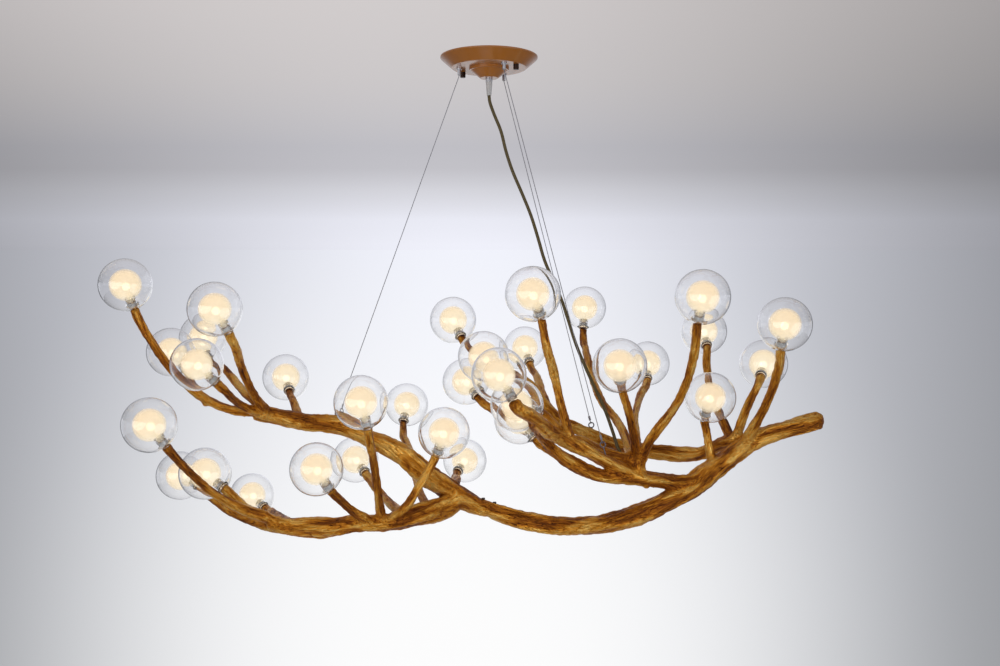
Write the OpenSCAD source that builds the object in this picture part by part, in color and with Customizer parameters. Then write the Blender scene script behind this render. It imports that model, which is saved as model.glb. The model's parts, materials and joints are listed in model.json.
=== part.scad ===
// Bubble chandelier: a sculpted bough with 32 double-walled glass bubbles,
// hung from a round ceiling canopy on three thin wires.
// The origin is the middle of the ceiling crossbar, on the ceiling. Z points up and Y points to the rear.

/* [Canopy] */
// Diameter of the canopy at the ceiling
canopy_d = 196; // [190:1:220]
// Diameter of the canopy's flat underside
canopy_flat_d = 150; // [146:1:160]
// Depth of the canopy from the ceiling to its flat underside
canopy_depth = 22.5; // [21:0.5:30]
// Height of the upright lip at the canopy's rim
canopy_lip = 2.5; // [2:0.5:4]
// Thickness of the canopy's sheet metal
canopy_wall = 1.2; // [0.8:0.1:2]
// Diameter of the step under the canopy
cone_top_d = 80; // [70:1:90]
// Height of the step under the canopy
cone_step = 5; // [3:0.5:8]
// Diameter of the cone's flat end
cone_end_d = 36; // [30:1:44]
// Height of the cone below its step
cone_depth = 15; // [10:1:22]

/* [Ceiling bracket] */
// Length of the crossbar
crossbar_l = 150; // [144:1:156]
// Width of the crossbar
crossbar_w = 22; // [20:1:26]
// Thickness of the crossbar
crossbar_t = 2.5; // [2:0.5:4]
// Distance between the two ceiling screw holes
hole_spacing = 90; // [80:1:96]
// Diameter of a ceiling screw hole
ceiling_hole_d = 5; // [4:0.5:6]
// Diameter of the hole in the middle, where the mains cable comes in
cable_hole_d = 10; // [8:1:14]
// Distance of each canopy stud from the centre
stud_reach = 65; // [62:1:68]
// Diameter of a canopy stud
stud_d = 4; // [3:0.5:5]
// Turn of the crossbar about the vertical, in degrees
crossbar_turn = -34; // [-40:1:-30]

/* [Cap nuts] */
// Diameter of a cap nut
cap_nut_d = 11; // [9:0.5:13]
// Height of a cap nut
cap_nut_h = 11; // [9:0.5:14]
// Travel of a cap nut as it comes off its stud
cap_nut_travel = 9; // [8:0.5:10]

/* [Driver and terminals] */
// Length of the driver
driver_l = 74; // [60:1:78]
// Width of the driver
driver_w = 30; // [24:1:32]
// Height of the driver
driver_h = 16; // [12:0.5:17]
// Length of the terminal block
terminal_l = 30; // [24:1:34]
// Width of the terminal block
terminal_w = 16; // [12:1:18]
// Height of the terminal block
terminal_h = 12; // [10:0.5:15]

/* [Suspension] */
// Distance of each wire gripper from the centre
gripper_reach = 60; // [56:1:62]
// Diameter of a gripper's barrel
gripper_d = 7; // [6:0.5:9]
// Length of a gripper's barrel below the canopy
gripper_l = 10; // [8:0.5:14]
// Diameter of a suspension wire
wire_d = 1.5; // [1:0.1:2]
// Inner radius of the eye of an eye screw
eye_r = 4; // [3.5:0.1:5]
// Thickness of an eye screw's wire
eye_d = 2.4; // [2:0.1:3]
// Clearance between a wire's loop and its eye
eye_gap = 0.7; // [0.5:0.05:1]
// Diameter of a wire's ferrule
ferrule_d = 4.5; // [3.5:0.1:5.5]
// Length of a wire's ferrule
ferrule_l = 9; // [6:0.5:12]

/* [Cord] */
// Diameter of the power cord
cord_d = 6.5; // [6:0.1:7]
// Diameter of the collar under the cone
gland_d = 14; // [12:0.5:18]
// Height of the collar under the cone
gland_h = 7; // [5:0.5:9]
// Length of the strain relief
relief_l = 28; // [22:1:34]
// Wider diameter of the strain relief
relief_top_d = 13; // [11:0.5:14]
// Narrower diameter of the strain relief
relief_end_d = 9; // [8:0.5:10]

/* [Glass globes] */
// Outer diameter of a globe
globe_d = 100; // [90:1:102]
// Wall of a globe's outer bubble
globe_wall = 1.2; // [0.8:0.1:2]
// Outer diameter of the frosted inner ball
ball_d = 62; // [50:1:64]
// Wall of the inner ball
ball_wall = 1; // [0.8:0.1:1.6]
// Inner diameter of a globe's neck
neck_bore_d = 17.2; // [16:0.1:19]
// Wall of a globe's neck
neck_wall = 1.2; // [1:0.1:1.6]
// Travel of a globe as it is pulled off its holder
globe_travel = 34; // [32:1:40]

/* [Lamp holders] */
// Diameter of a lamp holder's barrel
holder_d = 14; // [12:0.1:14.4]
// Height of a lamp holder's barrel above its flange
holder_h = 12; // [10:0.5:15]
// Thickness of a lamp holder's flange
flange_t = 2; // [1.5:0.1:3]
// Radial clearance between a grip ring and a globe's neck
grip_gap = 0.1; // [0.05:0.01:0.2]
// Diameter of a lamp
lamp_d = 11; // [9:0.5:13]
// Length of a lamp above its holder
lamp_l = 20; // [16:0.5:24]

/* [Bough] */
// Diameter of a twig at its tip
twig_tip_d = 18; // [16:0.5:20]
// Depth of the bark's ridges as a share of a branch's radius
ridge = 0.06; // [0:0.01:0.1]
// Diameter of the spigot that joins the two halves of the bough
spigot_d = 12; // [10:0.5:14]
// Length of the spigot
spigot_l = 60; // [50:1:70]
// Diameter of a spigot screw's head
spigot_screw_d = 7; // [6:0.5:8]

/* [Hidden] */

// Smooth round surfaces
$fn = 64;

function globe_name(i) = str("globe_", i < 10 ? "0" : "", i);

// Colours, as the photo shows them
bark = [0.55, 0.37, 0.14];
canopy_brown = [0.62, 0.38, 0.18];
dark_metal = [0.12, 0.09, 0.08];
steel = [0.72, 0.72, 0.74];
cord_olive = [0.24, 0.2, 0.08];
clear_glass = [0.85, 0.9, 0.95, 0.35];

// The limbs: each point is [x, y, z, radius] on the centre line, chosen by hand
UPPER_LEFT_LIMB = [
  [0, -25, -905, 15], [-30, -20, -895, 18], [-80, -10, -869, 23], [-130, 10, -838, 23],
  [-168, 25, -810, 21], [-208, 35, -786, 19], [-250, 40, -769, 18],
  [-300, 35, -746, 19], [-350, 25, -738, 18], [-380, 10, -732, 18], [-445, -20, -716, 16],
  [-465, -30, -713, 14]];
LOWER_LEFT_LIMB = [
  [-55, -20, -880, 16], [-84, -25, -898, 23], [-114, -40, -908, 24], [-165, -60, -920, 20],
  [-205, -80, -924, 18], [-260, -90, -925, 17], [-305, -95, -930, 19], [-350, -100, -929, 18],
  [-385, -105, -928, 17], [-420, -115, -915, 14]];
TRUNK = [
  [0, -25, -905, 15], [30, -30, -915, 16.5], [75, -40, -926, 17], [125, -50, -933, 17],
  [170, -55, -936, 17.5], [220, -60, -930, 18.5], [260, -60, -920, 19], [311, -60, -904, 20.5],
  [353, -55, -885, 21], [396, -50, -862, 23.5], [447, -40, -823, 22], [502, -30, -783, 19],
  [541, -25, -762, 18], [600, -20, -746, 17.5], [650, -15, -734, 18.5], [664, -14, -731, 15.5],
  [670, -14, -730, 8]];
FRONT_LOWER_LIMB = [
  [405, -50, -855, 19], [365, -60, -850, 18], [331, -70, -842, 16], [280, -85, -837, 14],
  [230, -100, -832, 13], [202, -105, -826, 13.5], [162, -110, -806, 13.5], [124, -112, -779, 12],
  [104, -140, -756, 9.5], [92, -180, -738, 9], [82, -212, -722, 9], [76, -230, -705, 8]];
FRONT_UPPER_LIMB = [
  [315, -75, -845, 15], [280, -85, -828, 14], [245, -95, -812, 14], [210, -105, -793, 13.5],
  [180, -115, -777, 14.5], [150, -132, -760, 13.5], [128, -153, -747, 13.5], [110, -185, -735, 13.5],
  [80, -228, -707, 13], [55, -252, -692, 12.5], [46.5, -255, -677.6, 12]];
REAR_LIMB = [
  [520, -25, -770, 12], [495, -5, -770, 14], [465, 15, -780, 13], [435, 35, -800, 13],
  [400, 50, -805, 15], [365, 55, -802, 15], [330, 55, -797, 15], [295, 50, -790, 14],
  [260, 45, -785, 13], [224, 40, -772, 13], [173, 35, -748, 12], [144, 35, -733, 12],
  [105, 40, -695, 10]];
// The short stub on the front lower limb that carries four twigs
CROWN_STUB = [[293, -80, -845, 17], [286, -75, -820, 21], [285, -70, -799, 20], [287, -70, -783, 14]];
// The low ridge that closes the fork between the stub, the front upper limb and the rear limb
FORK_RIDGE = [
  [286, -72, -812, 14], [262, -66, -802, 14], [235, -66, -794, 13], [205, -75, -782, 12],
  [178, -88, -764, 10.5], [154, -118, -758, 9]];

// The twigs: [limb, the point that the globe's middle lies towards, [route points from root to tip]]
TWIGS = [
  ["upper_left", [-685, -145, -465], [[-465, -30, -710], [-515, -45, -705], [-570, -60, -675],
    [-625, -85, -615], [-660, -100, -555], [-680, -115, -505]]],
  ["upper_left", [-495, -225, -515], [[-440, -20, -715], [-456, -65, -681], [-468, -125, -626],
    [-475, -210, -555]]],
  ["upper_left", [-550, -145, -615], [[-455, -32, -712], [-485, -75, -693], [-515, -135, -650]]],
  ["upper_left", [-650, 40, -595], [[-552, -55, -692], [-590, -10, -665], [-620, 35, -635]]],
  ["upper_left", [-615, 160, -565], [[-430, -15, -720], [-500, 45, -680], [-560, 120, -630],
    [-595, 155, -610]]],
  ["upper_left", [-440, 170, -650], [[-380, 10, -730], [-396, 50, -714], [-409, 85, -697],
    [-425, 130, -680]]],
  ["lower_left", [-605, -250, -725], [[-415, -115, -912], [-472, -145, -884], [-523, -175, -844],
    [-563, -210, -793], [-585, -230, -760]]],
  ["lower_left", [-640, 70, -850], [[-380, -105, -931], [-424, -75, -934], [-478, -40, -925],
    [-531, 0, -909], [-598, 50, -873]]],
  ["lower_left", [-545, -105, -825], [[-425, -120, -905], [-465, -128, -885], [-504, -120, -852]]],
  ["lower_left", [-545, 320, -925], [[-380, -105, -925], [-405, -10, -932], [-440, 95, -938],
    [-475, 200, -945], [-510, 290, -950]]],
  ["lower_left", [-320, -185, -805], [[-218, -82, -926], [-255, -115, -900], [-276, -135, -877],
    [-297, -162, -849]]],
  ["lower_left", [-290, 180, -830], [[-170, -60, -910], [-198, 0, -898], [-228, 65, -883],
    [-265, 145, -855]]],
  ["lower_left", [-230, -225, -685], [[-208, -80, -918], [-210, -120, -870], [-215, -170, -795],
    [-220, -215, -730]]],
  ["lower_left", [-195, 360, -725], [[-120, -40, -905], [-145, 50, -875], [-170, 195, -820],
    [-200, 330, -760]]],
  ["lower_left", [-85, -105, -745], [[-200, -80, -925], [-160, -80, -890], [-130, -80, -845],
    [-100, -80, -790]]],
  ["upper_left", [-60, 330, -850], [[-75, -10, -870], [-75, 90, -880], [-70, 190, -875],
    [-75, 290, -870]]],
  ["rear", [-80, 165, -525], [[112, 42, -700], [60, 60, -685], [0, 90, -640], [-30, 105, -603],
    [-60, 135, -565]]],
  ["rear", [-10, -105, -600], [[115, 38, -708], [88, 22, -665], [52, -18, -637], [15, -75, -635]]],
  ["front_upper", [20, -255, -630], [[142, -138, -756], [110, -185, -735], [80, -228, -707],
    [45, -255, -675]]],
  ["front_lower", [-50, 145, -660], [[128, -110, -784], [120, -50, -784], [99, 10, -769],
    [62, 45, -752], [20, 80, -725], [-25, 115, -690]]],
  ["rear", [80, 360, -590], [[130, 40, -720], [120, 100, -705], [105, 235, -655], [90, 325, -625]]],
  ["front_upper", [80, -275, -485], [[160, -122, -770], [142, -150, -711], [125, -180, -641],
    [108, -215, -581], [95, -245, -525]]],
  ["front_upper", [60, -152, -693], [[148, -130, -762], [128, -135, -733], [100, -138, -706]]],
  ["front_lower", [220, 380, -495], [[282, -70, -800], [270, 20, -750], [240, 110, -705],
    [226, 190, -665], [219, 265, -615], [215, 365, -545]]],
  ["front_lower", [240, -225, -615], [[290, -70, -805], [275, -120, -740], [260, -155, -690],
    [245, -185, -645]]],
  ["front_lower", [355, 290, -625], [[290, -65, -795], [296, 20, -760], [307, 110, -725],
    [327, 190, -690], [350, 255, -660]]],
  ["front_lower", [385, -260, -490], [[295, -75, -810], [313, -105, -757], [351, -140, -699],
    [372, -175, -641], [380, -210, -575], [380, -235, -535]]],
  ["rear", [465, 190, -550], [[490, 0, -770], [470, 45, -715], [460, 90, -665], [460, 125, -620],
    [465, 150, -585]]],
  ["trunk", [435, -60, -680], [[445, -40, -820], [435, -30, -760], [430, -25, -720]]],
  ["trunk", [545, -205, -540], [[505, -30, -775], [535, -85, -700], [549, -140, -625],
    [545, -175, -580]]],
  ["rear", [570, 80, -620], [[493, -10, -766], [530, 20, -692], [555, 40, -645]]],
  ["front_lower", [60, -45, -725], [[140, -112, -790], [117, -88, -781], [90, -62, -763]]]];

// Twig radii along the route, as shares of the tip's radius
TWIG_SWELL = [1.2, 0.92, 1];
// Sides and steps of the branches' surfaces
limb_sides = 12;
limb_steps = 3;
twig_sides = 8;
twig_steps = 3;

// The power cord's route, from inside the canopy to inside the crown stub, chosen by hand
CORD_ROUTE = [
  [0, 0, -34], [0, 0, -50], [0, 0, -66], [0, 0, -78], [2, 0, -92], [10, -2, -115],
  [24, -4, -150], [34, -5, -190], [47, -7, -230],
  [66, -10, -275], [84, -12, -320], [98, -14, -365], [111, -17, -410], [128, -20, -450],
  [145, -23, -490], [158, -26, -530], [172, -31, -575], [190, -37, -620], [210, -45, -665],
  [228, -52, -705], [242, -58, -745], [253, -63, -780], [266, -67, -803], [277, -70, -816]];
cord_sides = 10;
cord_steps = 3;

// Where each wire's eye screw ends inside its limb, with the limb's radius there
ANCHOR_LEFT = [-318, 32, -743, 18];
ANCHOR_FRONT = [228, -104, -801, 12];
ANCHOR_REAR = [214, 39, -764, 12];
// Length of bare shank between a limb's surface and its eye
SHANK_LEFT = 2;
SHANK_FRONT = 14;
SHANK_REAR = 3;
gripper_left_turn = 180;
gripper_front_turn = -60;
gripper_rear_turn = 60;

// Canopy, bracket and gland sizes that follow from those above
canopy_slope = atan2(canopy_depth - canopy_lip, (canopy_d - canopy_flat_d) / 2);
canopy_lip_round = 3;
canopy_flat_round = 4;
canopy_corner_steps = 3;
lip_corner_x = canopy_d / 2 - canopy_lip_round;
lip_corner_z = -canopy_lip + canopy_lip_round * tan((90 - canopy_slope) / 2);
flat_corner_x = canopy_flat_d / 2 - canopy_flat_round * tan(canopy_slope / 2);
flat_corner_z = -canopy_depth + canopy_flat_round;
cone_top_z = -canopy_depth - cone_step;
cone_end_z = cone_top_z - cone_depth;
cone_shoulder = 3;
stud_hole_gap = 0.3;
gland_hole_d = 10;
gland_end_l = 1;
locknut_h = 3;
locknut_d = 16;
stud_nut_d = 8;
stud_nut_h = 3;
stud_gap = 0.1;
cap_bore_h = 7;
cap_chamfer = 1.5;
stud_end_z = -canopy_depth - cap_bore_h + 1;
stud_top_gap = 0.2;
seat_gap = 0.05;
driver_gap = 0.3;
driver_side_gap = 4;
driver_y = -(crossbar_w / 2 + driver_w / 2 + driver_side_gap);
driver_foot_t = 2;
driver_foot_l = 4;
terminal_side_gap = 6;
terminal_x = -cable_hole_d / 2 - terminal_side_gap - terminal_l / 2;
terminal_hole_d = 4;
terminal_screw_d = 3.5;
gripper_brim = 2;
gripper_flange_d = gripper_d + 2 * gripper_brim;
gripper_flange_h = 3;
gripper_nut_h = 3;
gripper_thread_l = canopy_wall + gripper_nut_h + 1;
gripper_shank_d = gripper_d - 1;
gripper_bore_gap = 0.3;
gripper_bore_d = wire_d + 2 * gripper_bore_gap;
gripper_nose_h = 1.5;
gripper_nose_d = gripper_d - 3;
gripper_exit_z = -canopy_depth - gripper_flange_h - gripper_l;
wire_start_gap = 0.3;
cord_gap = 0.2;
relief_collar_h = 3;
relief_end_z = cone_end_z - gland_h - relief_l;

// Glass, holder and lamp sizes that follow from those above
globe_r = globe_d / 2;
ball_r = ball_d / 2;
neck_bore_r = neck_bore_d / 2;
neck_r = neck_bore_r + neck_wall;
mouth_drop = sqrt(globe_r * globe_r - neck_r * neck_r);
mouth_gap = 0.2;
globe_rise = flange_t + mouth_gap + mouth_drop;
grip_r = neck_bore_r - grip_gap;
grip_margin = 1.5;
pin_spacing = 4;
pin_d = 0.8;
pin_l = 6;
pin_gap = 0.1;
pin_hole_l = 7;
pin_root_l = 0.5;
lamp_tip = lamp_d / 2;

// Sizes of the screws that lock the spigot, and the clearances of its socket
spigot_thread_d = 3;
spigot_head_h = 3;
spigot_end_gap = 0.4;

// Vectors
function unit(v) = v / norm(v);
function xyz(p) = [p[0], p[1], p[2]];

// One point of a smooth curve through b and c, with a and d as their neighbours
function bend(a, b, c, d, t) =
  ((2 * b) + (c - a) * t + (2 * a - 5 * b + 4 * c - d) * t * t
   + (3 * b - a - 3 * c + d) * t * t * t) / 2;

// A smooth curve through a list of points, in equal steps between them, which leaves its end towards ahead
function beyond(p) = 2 * p[len(p) - 1] - p[len(p) - 2];
function curve(p, steps, ahead) = let (n = len(p) - 1, q = is_undef(ahead) ? beyond(p) : ahead)
  concat([for (i = [0 : n - 1], k = [0 : steps - 1])
    bend(i > 0 ? p[i - 1] : 2 * p[0] - p[1], p[i], p[i + 1], i + 2 <= n ? p[i + 2] : q, k / steps)],
    [p[n]]);

// Directions along a curve, whose first and last may be given, and side vectors that turn without twisting
function directions(c, last_way, first_way) = let (n = len(c) - 1)
  [for (i = [0 : n])
    i == n && !is_undef(last_way) ? last_way
    : i == 0 && !is_undef(first_way) ? first_way
    : unit(xyz(c[min(i + 1, n)]) - xyz(c[max(i - 1, 0)]))];
function first_side(t) = unit(cross(t, abs(t[2]) < 0.9 ? [0, 0, 1] : [1, 0, 0]));
function sides(t, i = 1, s = []) =
  i > len(t) ? s
  : i == 1 ? sides(t, 2, [first_side(t[0])])
  : sides(t, i + 1, concat(s, [unit(s[i - 2] - t[i - 1] * (s[i - 2] * t[i - 1]))]));

// A closed tube along c, whose points are [x, y, z, radius], with n sides and ridges like bark.
// Its last face is square to last_way and its first to first_way, where they are given.
module tube(c, n, ridges, last_way, first_way) {
  t = directions(c, last_way, first_way);
  s = sides(t);
  last = len(c) - 1;
  points = [for (i = [0 : last], k = [0 : n - 1])
    let (a = 360 * k / n,
         r = c[i][3] * (1 + ridges * (cos(3 * a + 25 * i) + 0.6 * cos(5 * a - 40 * i))))
    xyz(c[i]) + r * (cos(a) * s[i] + sin(a) * cross(t[i], s[i]))];
  walls = [for (i = [0 : last - 1], k = [0 : n - 1], half = [0, 1])
    let (a = i * n + k, b = i * n + (k + 1) % n)
    half == 0 ? [a, a + n, b] : [b, a + n, b + n]];
  start_cap = [[for (k = [0 : n - 1]) k]];
  end_cap = [[for (k = [0 : n - 1]) last * n + n - 1 - k]];
  polyhedron(points = points, faces = concat(walls, start_cap, end_cap));
}

// A twig's axis at its tip, its route with radii, and its smooth curve, which ends along the axis
function twig_tip(w) = w[2][len(w[2]) - 1];
function twig_axis(w) = unit(w[1] - twig_tip(w));
function swell(u) = u < 0.5
  ? TWIG_SWELL[0] + (TWIG_SWELL[1] - TWIG_SWELL[0]) * 2 * u
  : TWIG_SWELL[1] + (TWIG_SWELL[2] - TWIG_SWELL[1]) * (2 * u - 1);
function twig_route(w) = let (n = len(w[2]) - 1)
  [for (i = [0 : n]) concat(w[2][i], [twig_tip_d / 2 * swell(i / n)])];
function twig_curve(w) =
  let (p = twig_route(w), n = len(p) - 1, run = norm(xyz(p[n]) - xyz(p[n - 1])))
  curve(p, twig_steps, concat(xyz(p[n - 1]) + 2 * run * twig_axis(w), [p[n][3]]));

module twigs(limb) {
  for (w = TWIGS) if (w[0] == limb) tube(twig_curve(w), twig_sides, ridge, twig_axis(w));
}

module limb(route, first_way) {
  tube(curve(route, limb_steps), limb_sides, ridge, first_way = first_way);
}

// Turns its children so that Z points along v, and moves them to p
module along(p, v) {
  translate(p)
    rotate([0, acos(unit(v)[2]), atan2(v[1], v[0])])
      children();
}

module at_tips() {
  for (w = TWIGS) along(twig_tip(w), twig_axis(w)) children();
}

module ring(inner_r, outer_r, h) {
  rotate_extrude() translate([inner_r, 0]) square([outer_r - inner_r, h]);
}

// The crossbar's own frame, turned about the vertical
module on_crossbar() {
  rotate([0, 0, crossbar_turn]) children();
}

module ceiling_crossbar() {
  color(steel) on_crossbar() difference() {
    translate([-crossbar_l / 2, -crossbar_w / 2, -crossbar_t])
      cube([crossbar_l, crossbar_w, crossbar_t]);
    for (side = [-1, 1]) {
      crossbar_hole(side * hole_spacing / 2, ceiling_hole_d);
      crossbar_hole(side * stud_reach, stud_d + 2 * stud_gap);
    }
    crossbar_hole(0, cable_hole_d);
  }
}

// A round hole right through the crossbar
module crossbar_hole(x, d) {
  translate([x, 0, -2 * crossbar_t]) cylinder(d = d, h = 3 * crossbar_t);
}

module crossbar_studs() {
  color(steel) on_crossbar() for (side = [-1, 1]) translate([side * stud_reach, 0, 0]) {
    translate([0, 0, stud_end_z]) cylinder(d = stud_d, h = -stud_end_z - stud_top_gap);
    translate([0, 0, -crossbar_t - stud_nut_h]) cylinder(d = stud_nut_d, h = stud_nut_h);
  }
}

// A rounded corner of the canopy's outline, between two ways that its wall faces, in degrees from down
function canopy_corner(x, z, r, from, to) =
  [for (k = [0 : canopy_corner_steps]) let (a = from + (to - from) * k / canopy_corner_steps)
    [x + r * sin(a), z - r * cos(a)]];

// The canopy's outline, from the rim to the cone's end: an upright lip, a sloping side and a flat underside
module canopy_outline(inset) {
  top = inset > 0 ? 1 : 0;
  polygon(concat(
    [[0, top], [canopy_d / 2 - inset, top]],
    canopy_corner(lip_corner_x, lip_corner_z, canopy_lip_round - inset, 90, canopy_slope),
    canopy_corner(flat_corner_x, flat_corner_z, canopy_flat_round - inset, canopy_slope, 0),
    [[cone_top_d / 2 - inset, -canopy_depth + inset],
     [cone_top_d / 2 - inset, cone_top_z + inset],
     [cone_top_d / 2 - cone_shoulder - inset, cone_top_z + inset],
     [cone_end_d / 2 - inset / 2, cone_end_z + inset], [0, cone_end_z + inset]]));
}

module canopy() {
  color(canopy_brown) difference() {
    rotate_extrude() difference() {
      canopy_outline(0);
      canopy_outline(canopy_wall);
    }
    on_crossbar() for (side = [-1, 1]) translate([side * stud_reach, 0, -canopy_depth - 1])
      cylinder(d = stud_d + 2 * stud_hole_gap, h = canopy_wall + 2);
    for (turn = [gripper_left_turn, gripper_front_turn, gripper_rear_turn])
      translate(gripper_place(turn, -canopy_depth - 1))
        cylinder(d = gripper_shank_d + 2 * seat_gap, h = canopy_wall + 2);
    translate([0, 0, cone_end_z - 1]) cylinder(d = gland_hole_d + 2 * seat_gap, h = canopy_wall + 2);
  }
}

module cap_nut(side) {
  color(dark_metal) on_crossbar() translate([side * stud_reach, 0, -canopy_depth]) rotate([180, 0, 0])
    rotate_extrude() difference() {
      union() {
        square([cap_nut_d / 2, cap_nut_h - cap_chamfer]);
        square([cap_nut_d / 2 - cap_chamfer, cap_nut_h]);
        translate([cap_nut_d / 2 - cap_chamfer, cap_nut_h - cap_chamfer]) circle(r = cap_chamfer);
      }
      square([stud_d / 2 + stud_gap, cap_bore_h]);
    }
}

module cap_nut_left() { cap_nut(-1); }
module cap_nut_right() { cap_nut(1); }

module led_driver() {
  color([0.9, 0.9, 0.88]) on_crossbar()
    translate([-driver_l / 2, driver_y - driver_w / 2, -canopy_depth + canopy_wall + driver_gap]) {
      translate([driver_foot_l, 0, 0]) cube([driver_l - 2 * driver_foot_l, driver_w, driver_h]);
      cube([driver_l, driver_w, driver_foot_t]);
    }
}

module terminal_block() {
  color([0.93, 0.93, 0.9]) on_crossbar()
    translate([terminal_x - terminal_l / 2, -terminal_w / 2, -crossbar_t - terminal_h])
      difference() {
        cube([terminal_l, terminal_w, terminal_h]);
        for (k = [0 : 2]) {
          x = terminal_l * (k + 0.5) / 3;
          translate([x, -1, terminal_h / 2]) rotate([-90, 0, 0])
            cylinder(d = terminal_hole_d, h = terminal_w + 2);
          translate([x, terminal_w / 2, -1]) cylinder(d = terminal_screw_d, h = terminal_h / 2);
        }
      }
}

// A round collar below the cone, a threaded tube through it and a locknut inside
module cord_gland() {
  inside_z = cone_end_z + canopy_wall;
  color(steel) {
    translate([0, 0, cone_end_z - gland_h]) ring(cord_d / 2 + cord_gap, gland_d / 2, gland_h);
    translate([0, 0, cone_end_z])
      ring(cord_d / 2 + cord_gap, gland_hole_d / 2, canopy_wall + locknut_h + gland_end_l);
    translate([0, 0, inside_z]) ring(gland_hole_d / 2, locknut_d / 2, locknut_h);
  }
}

module strain_relief() {
  color([0.93, 0.93, 0.92, 0.7]) translate([0, 0, relief_end_z]) rotate_extrude()
    polygon([[cord_d / 2 + cord_gap, 0], [relief_end_d / 2, 0],
             [relief_top_d / 2, relief_l - relief_collar_h], [relief_top_d / 2, relief_l],
             [cord_d / 2 + cord_gap, relief_l]]);
}

function gripper_place(turn, z) = [gripper_reach * cos(turn), gripper_reach * sin(turn), z];

module wire_gripper(turn) {
  color(steel) translate(gripper_place(turn, 0)) difference() {
    union() {
      translate([0, 0, gripper_exit_z]) cylinder(d = gripper_d, h = gripper_l);
      translate([0, 0, gripper_exit_z - gripper_nose_h])
        cylinder(d1 = gripper_nose_d, d2 = gripper_d, h = gripper_nose_h);
      translate([0, 0, -canopy_depth - gripper_flange_h])
        cylinder(d = gripper_flange_d, h = gripper_flange_h);
      translate([0, 0, -canopy_depth]) cylinder(d = gripper_shank_d, h = gripper_thread_l);
      translate([0, 0, -canopy_depth + canopy_wall]) cylinder(d = gripper_flange_d, h = gripper_nut_h);
    }
    translate([0, 0, -2 * canopy_depth]) cylinder(d = gripper_bore_d, h = 2 * canopy_depth);
  }
}

module wire_gripper_left() { wire_gripper(gripper_left_turn); }
module wire_gripper_front() { wire_gripper(gripper_front_turn); }
module wire_gripper_rear() { wire_gripper(gripper_rear_turn); }

// Each wire runs from the end of its gripper to the middle of its eye
function wire_top(turn) = gripper_place(turn, gripper_exit_z - gripper_nose_h - wire_start_gap);
function wire_way(turn, anchor) = unit(wire_top(turn) - xyz(anchor));
function eye_middle(turn, anchor, shank) =
  xyz(anchor) + (anchor[3] + shank + eye_r + eye_d) * wire_way(turn, anchor);

module suspension_wire(turn, anchor, shank) {
  middle = eye_middle(turn, anchor, shank);
  loop_z = 2 * eye_r - eye_gap - wire_d / 2;
  wire_l = norm(wire_top(turn) - middle);
  color(steel) along(middle, wire_top(turn) - middle) {
    translate([0, 0, loop_z]) rotate([0, 90, 0]) rotate_extrude() translate([eye_r, 0]) circle(d = wire_d);
    translate([0, 0, loop_z + eye_r - wire_d / 2]) cylinder(d = ferrule_d, h = ferrule_l);
    translate([0, 0, loop_z + eye_r]) cylinder(d = wire_d, h = wire_l - loop_z - eye_r);
  }
}

module suspension_wire_left() { suspension_wire(gripper_left_turn, ANCHOR_LEFT, SHANK_LEFT); }
module suspension_wire_front() { suspension_wire(gripper_front_turn, ANCHOR_FRONT, SHANK_FRONT); }
module suspension_wire_rear() { suspension_wire(gripper_rear_turn, ANCHOR_REAR, SHANK_REAR); }

module eye_screw(turn, anchor, shank) {
  middle = eye_middle(turn, anchor, shank);
  way = wire_top(turn) - middle;
  shank_l = anchor[3] + shank;
  along(middle, way) {
    rotate([90, 0, 0]) rotate_extrude() translate([eye_r + eye_d / 2, 0]) circle(d = eye_d);
    translate([0, 0, -eye_r - eye_d / 2 - shank_l]) cylinder(d = eye_d, h = shank_l);
  }
}

module eye_screws() {
  color(steel) {
    eye_screw(gripper_left_turn, ANCHOR_LEFT, SHANK_LEFT);
    eye_screw(gripper_front_turn, ANCHOR_FRONT, SHANK_FRONT);
    eye_screw(gripper_rear_turn, ANCHOR_REAR, SHANK_REAR);
  }
}

module power_cord() {
  color(cord_olive)
    tube([for (p = curve(CORD_ROUTE, cord_steps)) concat(p, [cord_d / 2])], cord_sides, 0);
}

// The spigot's middle and direction, where the two halves of the bough meet
function spigot_way() = unit(xyz(TRUNK[1]) - xyz(TRUNK[0]));
module at_spigot(extra_l, extra_d) {
  along(xyz(TRUNK[0]) - (spigot_l + extra_l) / 2 * spigot_way(), spigot_way())
    cylinder(d = spigot_d + extra_d, h = spigot_l + extra_l);
}

module joint_spigot() {
  color(steel) at_spigot(0, 0);
}

module upper_left_limb() {
  color(bark) difference() {
    union() {
      limb(UPPER_LEFT_LIMB, -spigot_way());
      twigs("upper_left");
    }
    at_spigot(spigot_end_gap, 2 * seat_gap);
  }
}

module lower_left_limb() {
  color(bark) union() {
    limb(LOWER_LEFT_LIMB);
    twigs("lower_left");
  }
}

module trunk() {
  color(bark) difference() {
    union() {
      limb(TRUNK, spigot_way());
      twigs("trunk");
    }
    at_spigot(spigot_end_gap, 2 * seat_gap);
  }
}

module front_lower_limb() {
  color(bark) union() {
    limb(FRONT_LOWER_LIMB);
    limb(CROWN_STUB);
    limb(FORK_RIDGE);
    twigs("front_lower");
  }
}

module front_upper_limb() {
  color(bark) union() {
    limb(FRONT_UPPER_LIMB);
    twigs("front_upper");
  }
}

module rear_limb() {
  color(bark) union() {
    limb(REAR_LIMB);
    twigs("rear");
  }
}

// Two screws on top of the bough, one on each side of the joint
module joint_screws() {
  color(dark_metal) for (side = [-1, 1])
    translate(xyz(TRUNK[0]) + side * spigot_l / 5 * spigot_way()) {
      cylinder(d = spigot_thread_d, h = TRUNK[0][3]);
      translate([0, 0, TRUNK[0][3]]) cylinder(d = spigot_screw_d, h = spigot_head_h);
    }
}

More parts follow.
